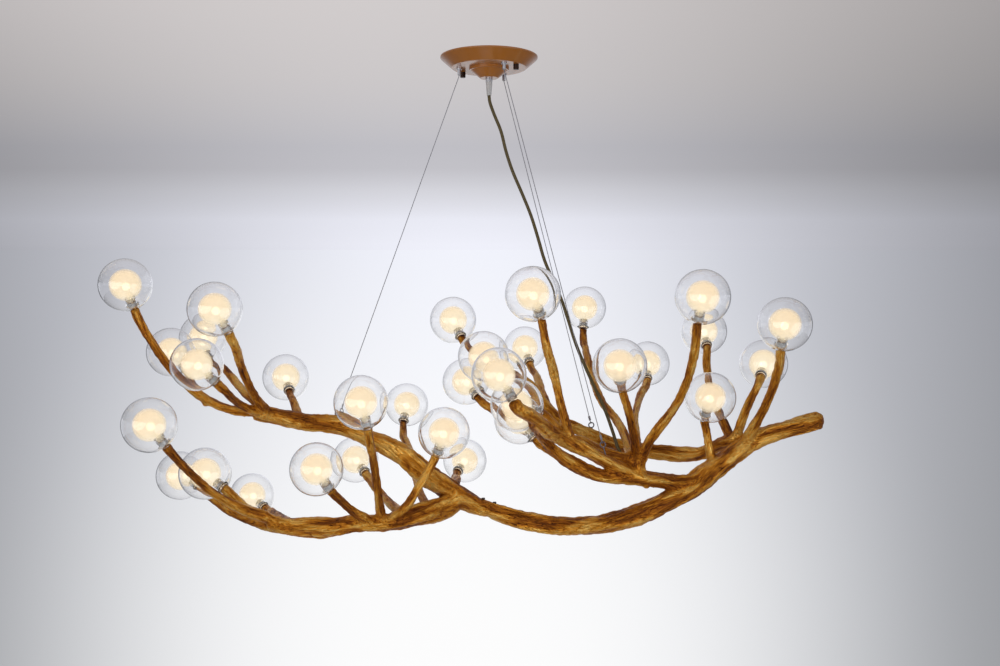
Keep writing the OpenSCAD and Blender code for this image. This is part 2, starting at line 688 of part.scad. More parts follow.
// The flange, and the barrel with two holes for a lamp's pins
module lamp_holders() {
  color(steel) at_tips() difference() {
    union() {
      cylinder(r = neck_r, h = flange_t);
      cylinder(d = holder_d, h = flange_t + holder_h);
    }
    for (side = [-1, 1]) translate([side * pin_spacing / 2, 0, flange_t + holder_h - pin_hole_l])
      cylinder(d = pin_d + 2 * pin_gap, h = pin_hole_l + 1);
  }
}

module grip_rings() {
  color([0.9, 0.9, 0.9, 0.6]) at_tips() translate([0, 0, flange_t + grip_margin])
    ring(holder_d / 2, grip_r, holder_h - 2 * grip_margin);
}

module lamps() {
  color([1, 0.85, 0.55]) at_tips() translate([0, 0, flange_t + holder_h]) {
    for (side = [-1, 1]) translate([side * pin_spacing / 2, 0, -pin_l])
      cylinder(d = pin_d, h = pin_l + pin_root_l);
    cylinder(d = lamp_d, h = lamp_l - lamp_tip);
    translate([0, 0, lamp_l - lamp_tip]) sphere(d = lamp_d);
  }
}

// Half the outline of a globe: outer bubble, neck and inner ball, one fused piece of glass
module globe_outline() {
  ball_drop = sqrt(ball_r * ball_r - neck_r * neck_r);
  intersection() {
    translate([0, -mouth_drop]) square([globe_d, globe_d + mouth_drop]);
    difference() {
      union() {
        difference() {
          circle(r = globe_r);
          circle(r = globe_r - globe_wall);
        }
        circle(r = ball_r);
        translate([0, -globe_r]) square([neck_r, globe_r - ball_drop]);
      }
      circle(r = ball_r - ball_wall);
      translate([0, -globe_d]) square([neck_bore_r, globe_d - ball_drop + ball_wall]);
    }
  }
}

module globe(i) {
  w = TWIGS[i - 1];
  color(clear_glass) along(twig_tip(w) + globe_rise * twig_axis(w), twig_axis(w))
    rotate_extrude() globe_outline();
}

ceiling_crossbar();
crossbar_studs();
canopy();
cap_nut_left();
cap_nut_right();
led_driver();
terminal_block();
cord_gland();
strain_relief();
wire_gripper_left();
wire_gripper_front();
wire_gripper_rear();
suspension_wire_left();
suspension_wire_front();
suspension_wire_rear();
eye_screws();
power_cord();
upper_left_limb();
lower_left_limb();
trunk();
front_lower_limb();
front_upper_limb();
rear_limb();
joint_spigot();
joint_screws();
lamp_holders();
grip_rings();
lamps();
for (i = [1 : 32]) globe(i);
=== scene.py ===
import json
import math

import bmesh
import bpy
import numpy as np
from mathutils import Matrix, Vector
from mathutils.bvhtree import BVHTree
from mathutils.kdtree import KDTree


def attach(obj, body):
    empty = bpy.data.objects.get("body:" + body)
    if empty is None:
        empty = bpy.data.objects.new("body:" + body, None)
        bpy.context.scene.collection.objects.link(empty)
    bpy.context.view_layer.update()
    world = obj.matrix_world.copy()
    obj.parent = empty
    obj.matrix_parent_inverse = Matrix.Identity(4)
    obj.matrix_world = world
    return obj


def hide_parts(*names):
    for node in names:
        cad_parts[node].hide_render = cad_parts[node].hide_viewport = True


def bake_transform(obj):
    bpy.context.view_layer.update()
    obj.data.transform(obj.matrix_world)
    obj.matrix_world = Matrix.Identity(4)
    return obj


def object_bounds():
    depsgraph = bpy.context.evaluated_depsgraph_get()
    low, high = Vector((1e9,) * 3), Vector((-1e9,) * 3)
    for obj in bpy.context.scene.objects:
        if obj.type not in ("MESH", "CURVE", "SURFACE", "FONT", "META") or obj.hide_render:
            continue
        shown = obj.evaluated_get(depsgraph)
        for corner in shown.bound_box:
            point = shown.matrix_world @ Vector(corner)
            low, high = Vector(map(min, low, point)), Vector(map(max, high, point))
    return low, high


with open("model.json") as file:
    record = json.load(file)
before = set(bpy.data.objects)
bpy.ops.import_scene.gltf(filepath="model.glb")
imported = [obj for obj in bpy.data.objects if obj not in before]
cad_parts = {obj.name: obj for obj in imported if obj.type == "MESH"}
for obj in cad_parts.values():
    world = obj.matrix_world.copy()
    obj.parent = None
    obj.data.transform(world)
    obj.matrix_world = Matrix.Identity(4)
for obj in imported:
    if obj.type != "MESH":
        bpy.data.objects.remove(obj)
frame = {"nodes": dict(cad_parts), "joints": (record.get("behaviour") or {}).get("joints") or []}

bpy.context.view_layer.update()
CAD_BOX = [list(corner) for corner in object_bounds()]
MM = 0.001

NODES = frame["nodes"]
BUBBLES = [f"{i:02d}" for i in range(1, 33)]
GLOBE_R, GLOBE_WALL = 50 * MM, 1.2 * MM
BALL_R, BALL_WALL = 31 * MM, 1.0 * MM
NECK_R, NECK_BORE_R = 9.8 * MM, 8.6 * MM
ON_AXIS = 1e-7  # a profile's point nearer to Z than this is a pole
NEAR_UPRIGHT = 0.9  # an axis whose Z is more than this has X for its side instead of Z

# ---------------------------------------------------------------- camera
# It stands level, 2.35 m in front of the canopy, and looks along Y.
FOCAL_PX, FRAME_PX, SENSOR_MM = 1168.0, 1000.0, 36.0
camera_data = bpy.data.cameras.new("camera")
camera_data.sensor_width = SENSOR_MM
camera_data.lens = FOCAL_PX / FRAME_PX * SENSOR_MM
camera_data.clip_start, camera_data.clip_end = 0.05, 60.0
camera = bpy.data.objects.new("camera", camera_data)
bpy.context.collection.objects.link(camera)
camera.location = (0.022, -2.350, -0.555)
camera.rotation_euler = (math.radians(90), 0, 0)
bpy.context.scene.camera = camera
bpy.context.scene.view_settings.view_transform = "Standard"


# ---------------------------------------------------------------- meshes
def new_object(name, mesh, materials=()):
    obj = bpy.data.objects.new(name, mesh)
    bpy.context.collection.objects.link(obj)
    for material in materials:
        mesh.materials.append(material)
    return obj


def mesh_of(name, vertices, faces, smooth=True):
    mesh = bpy.data.meshes.new(name)
    mesh.from_pydata([tuple(v) for v in vertices], [], [tuple(f) for f in faces])
    mesh.validate()
    if smooth:
        mesh.shade_smooth()
    return mesh


def set_attribute(mesh, name, values):
    """A number or a vector for each vertex, for the materials."""
    values = np.asarray(values, np.float32)
    layer = mesh.attributes.new(name, "FLOAT_VECTOR" if values.ndim > 1 else "FLOAT", "POINT")
    layer.data.foreach_set("vector" if values.ndim > 1 else "value", values.ravel())


def frame_along(origin, axis):
    """A matrix whose Z runs along axis and whose origin is at origin."""
    z = Vector(axis).normalized()
    side = Vector((0, 0, 1)) if abs(z.z) < NEAR_UPRIGHT else Vector((1, 0, 0))
    x = side.cross(z).normalized()
    y = z.cross(x)
    m = Matrix((x, y, z)).transposed().to_4x4()
    m.translation = Vector(origin)
    return m


def lathe(profile, sides):
    """Vertices and faces of a closed profile of (radius, z) points turned about Z.

    Points on the axis become poles."""
    rings, vertices = [], []
    for r, z in profile:
        if r < ON_AXIS:
            rings.append([len(vertices)])
            vertices.append((0.0, 0.0, z))
        else:
            rings.append(list(range(len(vertices), len(vertices) + sides)))
            for k in range(sides):
                a = 2 * math.pi * k / sides
                vertices.append((r * math.cos(a), r * math.sin(a), z))
    faces = []
    for a, b in zip(rings, rings[1:] + rings[:1]):
        if len(a) == 1 and len(b) == 1:
            continue
        for k in range(sides):
            n = (k + 1) % sides
            if len(a) == 1:
                faces.append((a[0], b[n], b[k]))
            elif len(b) == 1:
                faces.append((a[k], a[n], b[0]))
            else:
                faces.append((a[k], a[n], b[n], b[k]))
    return vertices, faces


def catmull_rom(points, steps):
    """A smooth curve through the points, with so many steps from each to the next."""
    p = [Vector(q) for q in points]
    p = [2 * p[0] - p[1], *p, 2 * p[-1] - p[-2]]
    out = []
    for i in range(1, len(p) - 2):
        a, b, c, d = p[i - 1 : i + 3]
        for k in range(steps):
            t = k / steps
            square, cube = 2 * a - 5 * b + 4 * c - d, 3 * b - a - 3 * c + d
            out.append((2 * b + (c - a) * t + square * t**2 + cube * t**3) / 2)
    out.append(p[-2])
    return out


def tube(points, radius, sides):
    """Vertices and faces of a closed tube along points, which doesn't twist."""
    count = len(points)
    ways = [(points[min(i + 1, count - 1)] - points[max(i - 1, 0)]).normalized()
            for i in range(count)]
    side = ways[0].cross(Vector((1, 0, 0))).normalized()
    vertices, faces = [], []
    for point, way in zip(points, ways):
        side = (side - way * side.dot(way)).normalized()
        other = way.cross(side)
        for k in range(sides):
            a = 2 * math.pi * k / sides
            vertices.append(point + radius * (math.cos(a) * side + math.sin(a) * other))
    for i in range(count - 1):
        for k in range(sides):
            n = (k + 1) % sides
            faces.append((i * sides + k, i * sides + n, (i + 1) * sides + n, (i + 1) * sides + k))
    faces.append(tuple(range(sides))[::-1])
    faces.append(tuple((count - 1) * sides + k for k in range(sides)))
    return vertices, faces


# ---------------------------------------------------------------- materials
class Shader:
    """A node material, built with short calls."""

    def __init__(self, name):
        self.material = bpy.data.materials.new(name)
        self.material.use_nodes = True
        self.tree = self.material.node_tree
        self.tree.nodes.clear()
        self.out = self.tree.nodes.new("ShaderNodeOutputMaterial")

    def node(self, kind, inputs=None, **settings):
        made = self.tree.nodes.new("ShaderNode" + kind)
        for key, value in settings.items():
            setattr(made, key, value)
        for key, value in (inputs or {}).items():
            if isinstance(value, bpy.types.NodeSocket):
                self.tree.links.new(value, made.inputs[key])
            else:
                made.inputs[key].default_value = value
        return made

    def principled(self, **inputs):
        made = self.node("BsdfPrincipled", {k.replace("_", " "): v for k, v in inputs.items()})
        self.surface(made)
        return made

    def ramp(self, factor, stops):
        """A colour that goes through the stops, each a place from 0 to 1 and its colour."""
        made = self.node("ValToRGB", {"Fac": factor})
        elements = made.color_ramp.elements
        while len(elements) < len(stops):
            elements.new(0.5)
        for element, (place, colour) in zip(elements, stops):
            element.position = place
            element.color = (*colour, 1)
        return made.outputs["Color"]

    def noise(self, scale, detail=2.0, vector=None, roughness=0.5):
        inputs = {"Scale": scale, "Detail": detail, "Roughness": roughness}
        inputs["Vector"] = vector if vector is not None else self.node("TexCoord").outputs["Object"]
        return self.node("TexNoise", inputs).outputs["Fac"]

    def maths(self, operation, a, b):
        return self.node("Math", {0: a, 1: b}, operation=operation).outputs[0]

    def weighted(self, *terms):
        """The sum of (value, weight) terms, where a term below 0 is taken off."""
        total = None
        for value, weight in terms:
            term = self.maths("MULTIPLY", value, abs(weight))
            if total is None:
                total = term
            else:
                total = self.maths("ADD" if weight > 0 else "SUBTRACT", total, term)
        return total

    def remap(self, value, low, high, to_low=0.0, to_high=1.0, curve="LINEAR"):
        inputs = {"Value": value, "From Min": low, "From Max": high,
                  "To Min": to_low, "To Max": to_high}
        return self.node("MapRange", inputs, interpolation_type=curve).outputs["Result"]

    def mix(self, factor, a, b, blend="MIX"):
        """A mix of two colours, by the Mix node's sockets for colours."""
        made = self.node("Mix", {0: factor, 6: a, 7: b}, data_type="RGBA", blend_type=blend)
        return made.outputs[2]

    def shader_mix(self, factor, a, b):
        return self.node("MixShader", {0: factor, 1: a.outputs[0], 2: b.outputs[0]})

    def transparent(self, r, g, b):
        return self.node("BsdfTransparent", {"Color": (r, g, b, 1)})

    def in_shadow(self):
        return self.node("LightPath").outputs["Is Shadow Ray"]

    def surface(self, shader):
        self.tree.links.new(shader.outputs[0], self.out.inputs["Surface"])

    def attribute(self, name):
        return self.node("Attribute", attribute_name=name).outputs["Fac"]

    def bump(self, height, strength, distance):
        inputs = {"Height": height, "Strength": strength, "Distance": distance}
        return self.node("Bump", inputs).outputs["Normal"]


def srgb(r, g, b):
    """Linear colour from 0-255 values as they show on a screen."""
    shown = (r / 255, g / 255, b / 255)
    return tuple(c / 12.92 if c <= 0.04045 else ((c + 0.055) / 1.055) ** 2.4 for c in shown)


def between(s, factor, colour, darker):
    """From the colour, darkened, to the colour itself, as the factor's noise goes."""
    return s.mix(s.remap(factor, 0.3, 0.7), (*[darker * c for c in colour], 1), (*colour, 1))


GRAIN_STRETCH = 0.11  # how much of a place along the branch counts in the grain's noise


def bark_material():
    """Cast bark under antique gold paint, with fibres along its grain.

    It is darker in its grooves and cracks, which is painted shade, and paler on its ridges, which
    is a painted highlight over the bark's own streaky tone."""
    s = Shader("bark_antique_gold")
    ridge, groove_shade, tint = s.attribute("ridge"), s.attribute("groove_shade"), s.attribute("tint")
    place = s.node("TexCoord").outputs["Object"]
    around = s.node("Attribute", attribute_name="around").outputs["Vector"]
    along = {0: place, 1: [GRAIN_STRETCH] * 3, 2: around}
    grain = s.node("VectorMath", along, operation="MULTIPLY_ADD").outputs["Vector"]
    fibre = s.remap(s.noise(330.0, 3.0, grain), 0.3, 0.7)
    thread = s.remap(s.noise(1000.0, 2.0, grain), 0.3, 0.7)
    # crack marks thin lines along the grain: the bump sinks them, and the colour darkens in them as
    # painted shade.
    line = s.maths("ABSOLUTE", s.maths("SUBTRACT", s.noise(240.0, 1.0, grain, 0.4), 0.5), 0)
    crack = s.remap(line, 0.0, 0.028, 1.0, 0.0)
    mottle = s.noise(34.0, 5.0, roughness=0.6)
    # The tone is raised on the ridges as a painted highlight and lowered in the grooves and cracks
    # as painted shade; fibre, thread, mottle and tint are the bark's own tone.
    tone = s.weighted((ridge, 0.27), (tint, 0.10), (fibre, 0.30), (thread, 0.24), (mottle, 0.18),
                      (groove_shade, -0.18), (crack, -0.26))
    # Its palest stops show mostly on the ridges, as painted highlights.
    colour = s.ramp(tone, [
        (0.0, srgb(66, 26, 0)), (0.12, srgb(116, 58, 2)), (0.26, srgb(152, 85, 8)),
        (0.40, srgb(188, 115, 20)), (0.56, srgb(212, 142, 38)), (0.76, srgb(240, 190, 96))])
    height = s.weighted((fibre, 0.5), (thread, 0.25), (s.noise(110.0, 4.0), 0.9), (crack, -0.6))
    s.principled(
        Base_Color=colour,
        Metallic=0.55,
        Roughness=s.remap(tone, 0.2, 0.8, 0.5, 0.22),
        Specular_IOR_Level=0.3,
        Normal=s.bump(height, 0.9, 0.0018),
    )
    return s.material


def glass_material():
    """Clear glass, which lets the lamps' light through."""
    s = Shader("clear_glass")
    waves = s.noise(14.0, 1.0)
    glass = s.principled(
        Base_Color=(1, 1, 1, 1), Roughness=0.0, IOR=1.45, Transmission_Weight=1.0,
        Normal=s.bump(waves, 0.1, 0.002))
    s.surface(s.shader_mix(s.in_shadow(), glass, s.transparent(0.97, 0.97, 0.97)))
    return s.material


def frosted_material():
    """Frosted glass, lit by the lamp inside it.

    Its warm glow is painted on as emission, palest by the lamp, and it fades to clear towards its
    outline as the surface turns from the view."""
    s = Shader("frosted_glow")
    glow = s.attribute("glow")
    grain = s.noise(420.0, 2.0)
    # The glow is painted light: an emission colour and strength, palest near the lamp. A real point
    # light inside adds its own hot spot through the rough glass.
    colour = s.ramp(glow, [
        (0.0, srgb(255, 228, 190)), (0.5, srgb(255, 236, 202)), (1.0, srgb(255, 246, 220))])
    frosted = s.principled(
        Base_Color=(*srgb(120, 110, 94), 1), Roughness=0.45, IOR=1.08, Transmission_Weight=0.4,
        Specular_IOR_Level=0.0,
        Emission_Color=colour,
        Emission_Strength=s.remap(glow, 0.0, 1.0, 0.75, 0.77),
        Normal=s.bump(grain, 0.25, 0.0004))
    # The painted glow and the frosted glass fade to clear towards the outline, by how squarely the
    # surface faces the view.
    facing = s.node("LayerWeight", {"Blend": 0.5}).outputs["Facing"]
    edge = s.remap(facing, 0.16, 0.88, curve="SMOOTHSTEP")
    soft = s.shader_mix(edge, frosted, s.transparent(1, 1, 1))
    s.surface(s.shader_mix(s.in_shadow(), soft, s.transparent(0.6, 0.55, 0.45)))
    return s.material


def inner_wall_material():
    """The inside of a frosted ball, which adds only a little haze of its own."""
    s = Shader("frosted_inside")
    haze = s.noise(60.0, 2.0)
    milk = s.node("BsdfTranslucent", {"Color": (*srgb(255, 238, 208), 1)})
    clear = s.transparent(0.99, 0.985, 0.975)
    s.surface(s.shader_mix(s.remap(haze, 0.0, 1.0, 0.03, 0.08), clear, milk))
    return s.material


def metal_material(name, colour, roughness, grain_scale, metallic=1.0):
    s = Shader(name)
    grain = s.noise(grain_scale, 4.0)
    s.principled(
        Base_Color=between(s, grain, colour, 0.86), Metallic=metallic,
        Roughness=s.remap(grain, 0.3, 0.7, roughness * 0.85, roughness * 1.2),
        Normal=s.bump(grain, 0.2, 0.0003))
    return s.material


def paint_material(name, colour, roughness, coat):
    s = Shader(name)
    orange_peel = s.noise(340.0, 2.0)
    broad = s.noise(9.0, 2.0)
    s.principled(
        Base_Color=between(s, broad, colour, 0.92),
        Roughness=s.remap(orange_peel, 0.3, 0.7, roughness * 0.9, roughness * 1.1),
        Coat_Weight=coat, Coat_Roughness=0.12, Normal=s.bump(orange_peel, 0.12, 0.0003))
    return s.material


def plastic_material(name, colour, roughness, transmission=0.0):
    s = Shader(name)
    grain = s.noise(500.0, 3.0)
    s.principled(
        Base_Color=between(s, grain, colour, 0.94), Roughness=roughness,
        Transmission_Weight=transmission, Normal=s.bump(grain, 0.15, 0.0003))
    return s.material


BARK = bark_material()
GLASS = glass_material()
FROSTED = frosted_material()
FROSTED_INSIDE = inner_wall_material()
WIRE = metal_material("wire_steel", srgb(150, 150, 156), 0.45, 200.0, metallic=0.8)
STEEL = metal_material("brushed_steel", srgb(196, 198, 204), 0.32, 180.0)
HOLDER = metal_material("holder_nickel", srgb(184, 164, 148), 0.3, 220.0)
EYES = metal_material("eye_zinc", srgb(112, 110, 116), 0.32, 200.0)
DARK = metal_material("dark_bronze", srgb(62, 48, 42), 0.38, 160.0)
CANOPY = paint_material("canopy_satin_paint", srgb(170, 101, 11), 0.4, 0.7)
JACKET = plastic_material("cord_jacket_olive", srgb(88, 74, 34), 0.5)
RELIEF = plastic_material("relief_plastic", srgb(232, 232, 230), 0.35, 0.35)
SILICONE = plastic_material("grip_silicone", srgb(226, 228, 228), 0.45, 0.4)
CASE = plastic_material("driver_case", srgb(232, 232, 226), 0.5)
TERMINAL = plastic_material("terminal_plastic", srgb(238, 236, 228), 0.5)
LAMP = plastic_material("lamp_glass", srgb(255, 246, 220), 0.2, 0.3)


def dress(material, *names):
    for name in names:
        data = NODES[name].data
        data.materials.clear()
        data.materials.append(material)


dress(CANOPY, "canopy")
dress(DARK, "cap_nut_left", "cap_nut_right", "joint_screws")
dress(STEEL, "ceiling_crossbar", "crossbar_studs", "cord_gland", "joint_spigot",
      *[f"wire_gripper_{k}" for k in ("left", "front", "rear")])
dress(EYES, "eye_screws")
dress(WIRE, *[f"suspension_wire_{k}" for k in ("left", "front", "rear")])
dress(CASE, "led_driver")
dress(TERMINAL, "terminal_block")
dress(RELIEF, "strain_relief")
dress(HOLDER, "lamp_holders")
dress(SILICONE, "grip_rings")
dress(LAMP, "lamps")

# ---------------------------------------------------------------- cord
CORD_ROUTE_MM = [
    (0, 0, -34), (0, 0, -50), (0, 0, -66), (0, 0, -78), (2, 0, -92), (10, -2, -115),
    (24, -4, -150), (34, -5, -190), (47, -7, -230), (66, -10, -275), (84, -12, -320),
    (98, -14, -365), (111, -17, -410), (128, -20, -450), (145, -23, -490), (158, -26, -530),
    (172, -31, -575), (190, -37, -620), (210, -45, -665), (228, -52, -705), (242, -58, -745),
    (253, -63, -780), (266, -67, -803), (277, -70, -816)]
CORD_D, CORD_SIDES, CORD_STEPS = 6.5 * MM, 16, 4
cord_path = catmull_rom([Vector(p) * MM for p in CORD_ROUTE_MM], CORD_STEPS)
cord_mesh = mesh_of("cord_sheath", *tube(cord_path, CORD_D / 2, CORD_SIDES))
cord = new_object("cord_sheath", cord_mesh, [JACKET])
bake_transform(cord)
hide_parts("power_cord")

# ---------------------------------------------------------------- bough
VOXEL = 2.0 * MM
MERGE = 1e-6  # vertices nearer than this are one
ON_PLANE = 1e-7  # a vertex nearer than this lies in the cut
DEEPEST = 0.06  # the thickest branch that thickness() tells apart
UNDER_SKIN = 0.0005  # its rays start this far inside the surface
SKIN_ROUNDS, SKIN_WEIGHT = 7, 0.6  # take off the voxels' steps
REGAIN_ROUNDS = 12  # and give back evenly what that took off the branches
DEEP_ROUNDS, GRAIN_ROUNDS, FACING_ROUNDS = 25, 90, 8
GRAIN_STEP = 2.2 * VOXEL
FULL_RELIEF, LEAST_RELIEF = 0.036, 0.55  # full from this thickness on, and its share on a thin twig
LEFT_OF = -0.3  # only the left piece reaches past this x
BARK_SEED, GLASS_SEED = 11, 7


def joined_copy(name, nodes):
    """One mesh made of copies of CAD nodes, in the row frame."""
    vertices, faces = [], []
    for node in nodes:
        data = NODES[node].data
        start = len(vertices)
        vertices += [NODES[node].matrix_world @ v.co for v in data.vertices]
        faces += [[start + i for i in p.vertices] for p in data.polygons]
    mesh = mesh_of(name, vertices, faces)
    bm = bmesh.new()
    bm.from_mesh(mesh)
    bmesh.ops.remove_doubles(bm, verts=bm.verts, dist=MERGE)
    bm.to_mesh(mesh)
    bm.free()
    return mesh


def remeshed(obj, voxel):
    """The object's mesh, remeshed to even quads."""
    modifier = obj.modifiers.new("voxels", "REMESH")
    modifier.mode, modifier.voxel_size, modifier.adaptivity = "VOXEL", voxel, 0.0
    made = bpy.data.meshes.new_from_object(obj.evaluated_get(bpy.context.evaluated_depsgraph_get()))
    obj.modifiers.clear()
    obj.data = made


def neighbours(mesh, width=8):
    """Each vertex's neighbours over its edges, filled up with the vertex itself."""
    count = len(mesh.vertices)
    edges = np.zeros(2 * len(mesh.edges), np.int64)
    mesh.edges.foreach_get("vertices", edges)
    edges = edges.reshape(-1, 2)
    both = np.concatenate([edges, edges[:, ::-1]])
    both = both[np.argsort(both[:, 0], kind="stable")]
    starts = np.searchsorted(both[:, 0], np.arange(count))
    rank = np.arange(len(both)) - starts[both[:, 0]]
    table = np.repeat(np.arange(count)[:, None], width, axis=1)
    keep = rank < width
    table[both[keep, 0], rank[keep]] = both[keep, 1]
    valence = np.minimum(np.bincount(both[:, 0], minlength=count), width)
    return table, valence


def smoothed(values, table, valence, rounds, weight=1.0):
    """Values averaged over neighbours, several times."""
    values = values.astype(float)
    flat = values.reshape(len(values), -1)
    spare = table.shape[1] - valence
    for _ in range(rounds):
        total = flat[table].sum(axis=1) - spare[:, None] * flat
        flat = (1 - weight) * flat + weight * (total + flat) / (valence[:, None] + 1)
    return flat.reshape(values.shape)


def vertex_arrays(mesh):
    count = len(mesh.vertices)
    places, normals = np.zeros(3 * count), np.zeros(3 * count)
    mesh.vertices.foreach_get("co", places)
    mesh.vertex_normals.foreach_get("vector", normals)
    return places.reshape(-1, 3), normals.reshape(-1, 3)


def grain_field(places, normals, table, valence):
    """The way that each place's branch runs: the direction that the normals round it avoid."""
    spread = smoothed(normals[:, :, None] * normals[:, None, :], table, valence, GRAIN_ROUNDS)
    _, vectors = np.linalg.eigh(spread)
    way = vectors[:, :, 0]
    way -= normals * (way * normals).sum(axis=1)[:, None]
    way /= np.maximum(np.linalg.norm(way, axis=1), 1e-9)[:, None]
    return way


def steps_along(places, way, step):
    """For each vertex, its three nearest vertices one step on and one step back, with weights."""
    tree = KDTree(len(places))
    for i, p in enumerate(places):
        tree.insert(p, i)
    tree.balance()
    maps = []
    for sign in (1, -1):
        index = np.zeros((len(places), 3), np.int64)
        weight = np.zeros((len(places), 3))
        for i, p in enumerate(places + sign * step * way):
            for k, (_, j, d) in enumerate(tree.find_n(p, 3)):
                index[i, k], weight[i, k] = j, 1 / (d + 1e-4)
        maps.append((index, weight / weight.sum(axis=1)[:, None]))
    return maps


def streaked(values, maps, rounds):
    for _ in range(rounds):
        ends = [(values[index] * weight).sum(axis=1) for index, weight in maps]
        values = 0.4 * values + 0.3 * ends[0] + 0.3 * ends[1]
    return values


def evened(values):
    """Values spread evenly between 0 and 1 by rank."""
    order = np.argsort(values)
    out = np.zeros(len(values))
    out[order] = np.linspace(0, 1, len(values))
    return out


def thickness(mesh, places, normals):
    """How thick the branch is under each vertex, at most DEEPEST."""
    tree = BVHTree.FromPolygons(
        [tuple(p) for p in places], [tuple(f.vertices) for f in mesh.polygons])
    deep = np.full(len(places), DEEPEST)
    for i, (p, n) in enumerate(zip(places, normals)):
        hit = tree.ray_cast(Vector(p - UNDER_SKIN * n), Vector(-n), DEEPEST)
        if hit[3] is not None:
            deep[i] = hit[3]
    return deep


LEFT = ["upper_left_limb", "lower_left_limb"]
RIGHT = ["trunk", "front_lower_limb", "front_upper_limb", "rear_limb"]
JOINT = Vector((0, -25, -905)) * MM
JOINT_WAY = Vector((30, -5, -10)).normalized()
JOINT_REACH = 40 * MM


def low_part(values, share):
    """1 in the lowest share of evened values, falling to 0 a little above it."""
    return np.clip((share - values) / (0.6 * share) + 0.6, 0, 1)


def carved_bough(seed):
    """The whole bough's mesh, with lumps, long strands, fibres and grooves along the grain."""
    obj = new_object("bough_whole", joined_copy("bough_whole", LEFT + RIGHT))
    remeshed(obj, VOXEL)
    mesh = obj.data
    table, valence = neighbours(mesh)
    blocky, normals = vertex_arrays(mesh)
    places = smoothed(blocky, table, valence, SKIN_ROUNDS, SKIN_WEIGHT)
    shrunk = ((blocky - places) * normals).sum(axis=1)
    shrunk = smoothed(shrunk, table, valence, REGAIN_ROUNDS)
    places += shrunk[:, None] * normals
    mesh.vertices.foreach_set("co", places.ravel())
    mesh.update()
    places, normals = vertex_arrays(mesh)
    deep = smoothed(thickness(mesh, places, normals), table, valence, DEEP_ROUNDS)
    way = grain_field(places, normals, table, valence)
    maps = steps_along(places, way, GRAIN_STEP)
    random = np.random.default_rng(seed)

    def blobs(softness):
        return smoothed(random.normal(size=len(places)), table, valence, softness)

    def field(softness, length):
        return evened(streaked(blobs(softness), maps, length))

    broad, lump = field(26, 18), evened(blobs(10))
    strand, fibre, fine = field(6, 44), field(1, 26), field(0, 9)
    scale = np.clip(deep / FULL_RELIEF, LEAST_RELIEF, 1.0)
    facing = smoothed(normals, table, valence, FACING_ROUNDS)
    facing /= np.linalg.norm(facing, axis=1)[:, None]
    # groove cuts real grooves into the surface below; as an attribute it also darkens the bark's
    # colour there, which is painted shade.
    groove_shade = np.maximum(low_part(strand, 0.26), 0.8 * low_part(fibre, 0.22))
    # in mm, and each field runs from 0 to 1
    lift = 2.6 * (broad - 0.5) + 1.7 * (lump - 0.5) + 2.0 * (strand - 0.5)
    lift = lift + 1.3 * (fibre - 0.5) + 0.5 * (fine - 0.5)
    lift -= 1.1 * groove_shade - 0.4
    places = places + (scale * lift * MM)[:, None] * normals
    places = np.clip(places, CAD_BOX[0], CAD_BOX[1])
    mesh.vertices.foreach_set("co", places.ravel())
    # ridge follows the raised strands and lumps; the bark is painted paler there as a highlight,
    # over its own streaky tone.
    set_attribute(mesh, "ridge", evened(0.55 * strand + 0.5 * fibre + 0.1 * broad + 0.2 * lump))
    set_attribute(mesh, "groove_shade", groove_shade)
    set_attribute(mesh, "tint", 0.55 * fibre + 0.45 * fine)
    set_attribute(mesh, "around", 0.5 * deep[:, None] * facing)
    return obj


def split_bough(obj):
    """The bough's two pieces, cut through at the joint, with flat ends there."""
    bm = bmesh.new()
    bm.from_mesh(obj.data)
    near = [f for f in bm.faces if (f.calc_center_median() - JOINT).length < JOINT_REACH]
    geometry = near + list({e for f in near for e in f.edges})
    geometry += list({v for f in near for v in f.verts})
    cut = bmesh.ops.bisect_plane(
        bm, geom=geometry, dist=ON_PLANE, plane_co=JOINT, plane_no=JOINT_WAY)["geom_cut"]
    bmesh.ops.split_edges(bm, edges=[e for e in cut if isinstance(e, bmesh.types.BMEdge)])
    ends = [e for e in bm.edges if e.is_boundary]
    bmesh.ops.holes_fill(bm, edges=ends, sides=0)
    bm.verts.ensure_lookup_table()
    side = {}
    for start in bm.verts:
        if start.index in side:
            continue
        group, stack = [], [start]
        side[start.index] = None
        while stack:
            vertex = stack.pop()
            group.append(vertex)
            for edge in vertex.link_edges:
                other = edge.other_vert(vertex)
                if other.index not in side:
                    side[other.index] = None
                    stack.append(other)
        left = min(v.co.x for v in group) < LEFT_OF
        for vertex in group:
            side[vertex.index] = left
    pieces = []
    for name, left in (("bough_left", True), ("bough_right", False)):
        part = bm.copy()
        part.verts.ensure_lookup_table()
        others = [v for v in part.verts if side[v.index] != left]
        bmesh.ops.delete(part, geom=others, context="VERTS")
        mesh = bpy.data.meshes.new(name)
        part.to_mesh(mesh)
        part.free()
        mesh.shade_smooth()
        pieces.append(new_object(name, mesh, [BARK]))
    bm.free()
    bpy.data.objects.remove(obj)
    return pieces


for piece, nodes in zip(split_bough(carved_bough(BARK_SEED)), (LEFT, RIGHT)):
    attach(piece, "bough")
    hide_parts(*nodes)


# ---------------------------------------------------------------- bubbles
OUTER_STEPS, BALL_STEPS, HOLLOW_STEPS, TUNNEL_STEPS = 30, 24, 14, 4
NECK_RIBS, RIB_HEIGHT, RIB_STEP = 8, 0.35 * MM, 0.5  # a rib starts at each whole number
INNER, BALL, HOLLOW = 1, 3, 4  # numbers of parts, in bubble_profile's order


def arc(radius, start, end, steps):
    """Points of (radius, z) on a circle, between two angles above the level, in radians."""
    angles = np.linspace(start, end, steps)
    return [(max(0.0, radius * math.cos(a)), radius * math.sin(a)) for a in angles]


